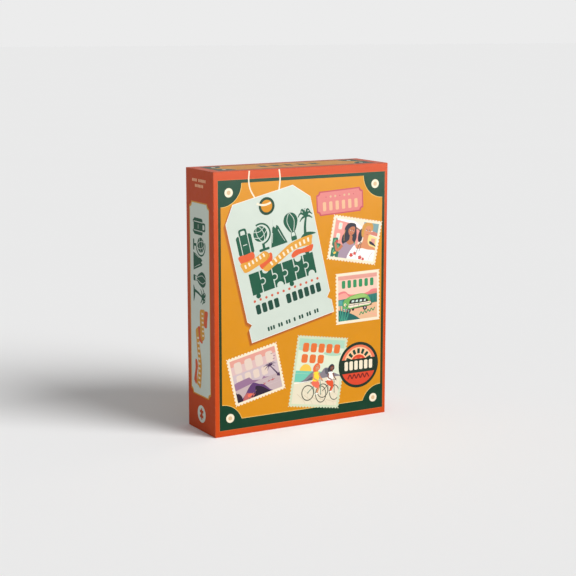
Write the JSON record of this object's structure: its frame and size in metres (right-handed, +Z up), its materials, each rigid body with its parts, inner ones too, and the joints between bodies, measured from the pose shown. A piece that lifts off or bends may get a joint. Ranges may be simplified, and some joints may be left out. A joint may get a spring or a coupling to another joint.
{
  "type": "boxed jigsaw puzzle",
  "caption": "Rigid cardboard puzzle box standing on its short side, with a full-depth lift-off lid over a tray that holds bagged jigsaw pieces and a folded picture sheet.",
  "frame": {"origin": "middle of the side that the box stands on", "axes": "+Z up along the height of the box, +X across its width, and -Y out of the printed front of the lid"},
  "size_m": [0.203, 0.0604, 0.267],
  "materials": {
    "lid_print": "printed paper with a satin lamination",
    "tray_print": "printed paper with a satin lamination",
    "greyboard": "raw grey chipboard",
    "paper_tape": "brown paper tape",
    "sheet_print": "thin printed paper",
    "bag_film": "clear glossy film",
    "puzzle_board": "printed on one side, blue-grey board on the other"
  },
  "bodies": {
    "tray": {"tray_board": "greyboard", "tray_corner_tapes": "paper_tape", "tray_wrap": "tray_print"},
    "lid": {"lid_board": "greyboard", "lid_corner_tapes": "paper_tape", "lid_wrap": "lid_print"},
    "sheet": {"picture_sheet": "sheet_print"},
    "bag": {"piece_bag": "bag_film", "puzzle_pieces_layer_01": "puzzle_board", "puzzle_pieces_layer_02": "puzzle_board", "puzzle_pieces_layer_03": "puzzle_board", "puzzle_pieces_layer_04": "puzzle_board", "puzzle_pieces_layer_05": "puzzle_board", "puzzle_pieces_layer_06": "puzzle_board", "puzzle_pieces_layer_07": "puzzle_board", "puzzle_pieces_layer_08": "puzzle_board", "puzzle_pieces_layer_09": "puzzle_board", "puzzle_pieces_layer_10": "puzzle_board", "puzzle_pieces_layer_11": "puzzle_board", "puzzle_pieces_layer_12": "puzzle_board", "puzzle_pieces_layer_13": "puzzle_board", "puzzle_pieces_layer_14": "puzzle_board", "puzzle_pieces_layer_15": "puzzle_board", "puzzle_pieces_layer_16": "puzzle_board", "puzzle_pieces_layer_17": "puzzle_board", "puzzle_pieces_layer_18": "puzzle_board", "puzzle_pieces_layer_19": "puzzle_board", "puzzle_pieces_layer_20": "puzzle_board"}
  },
  "joints": [
    {"name": "lid_slide", "type": "slide", "parent": "tray", "child": "lid", "axis": [0, -1, 0], "range_m": [0, 0.24]},
    {"name": "sheet_lift", "type": "slide", "parent": "tray", "child": "sheet", "axis": [0, -1, 0], "range_m": [0, 0.144]},
    {"name": "bag_lift", "type": "slide", "parent": "tray", "child": "bag", "axis": [0, -1, 0], "range_m": [0, 0.084]}
  ],
  "couplings": [
    {"joint": "sheet_lift", "follows": "lid_slide", "ratio": 0.6},
    {"joint": "bag_lift", "follows": "lid_slide", "ratio": 0.35}
  ]
}
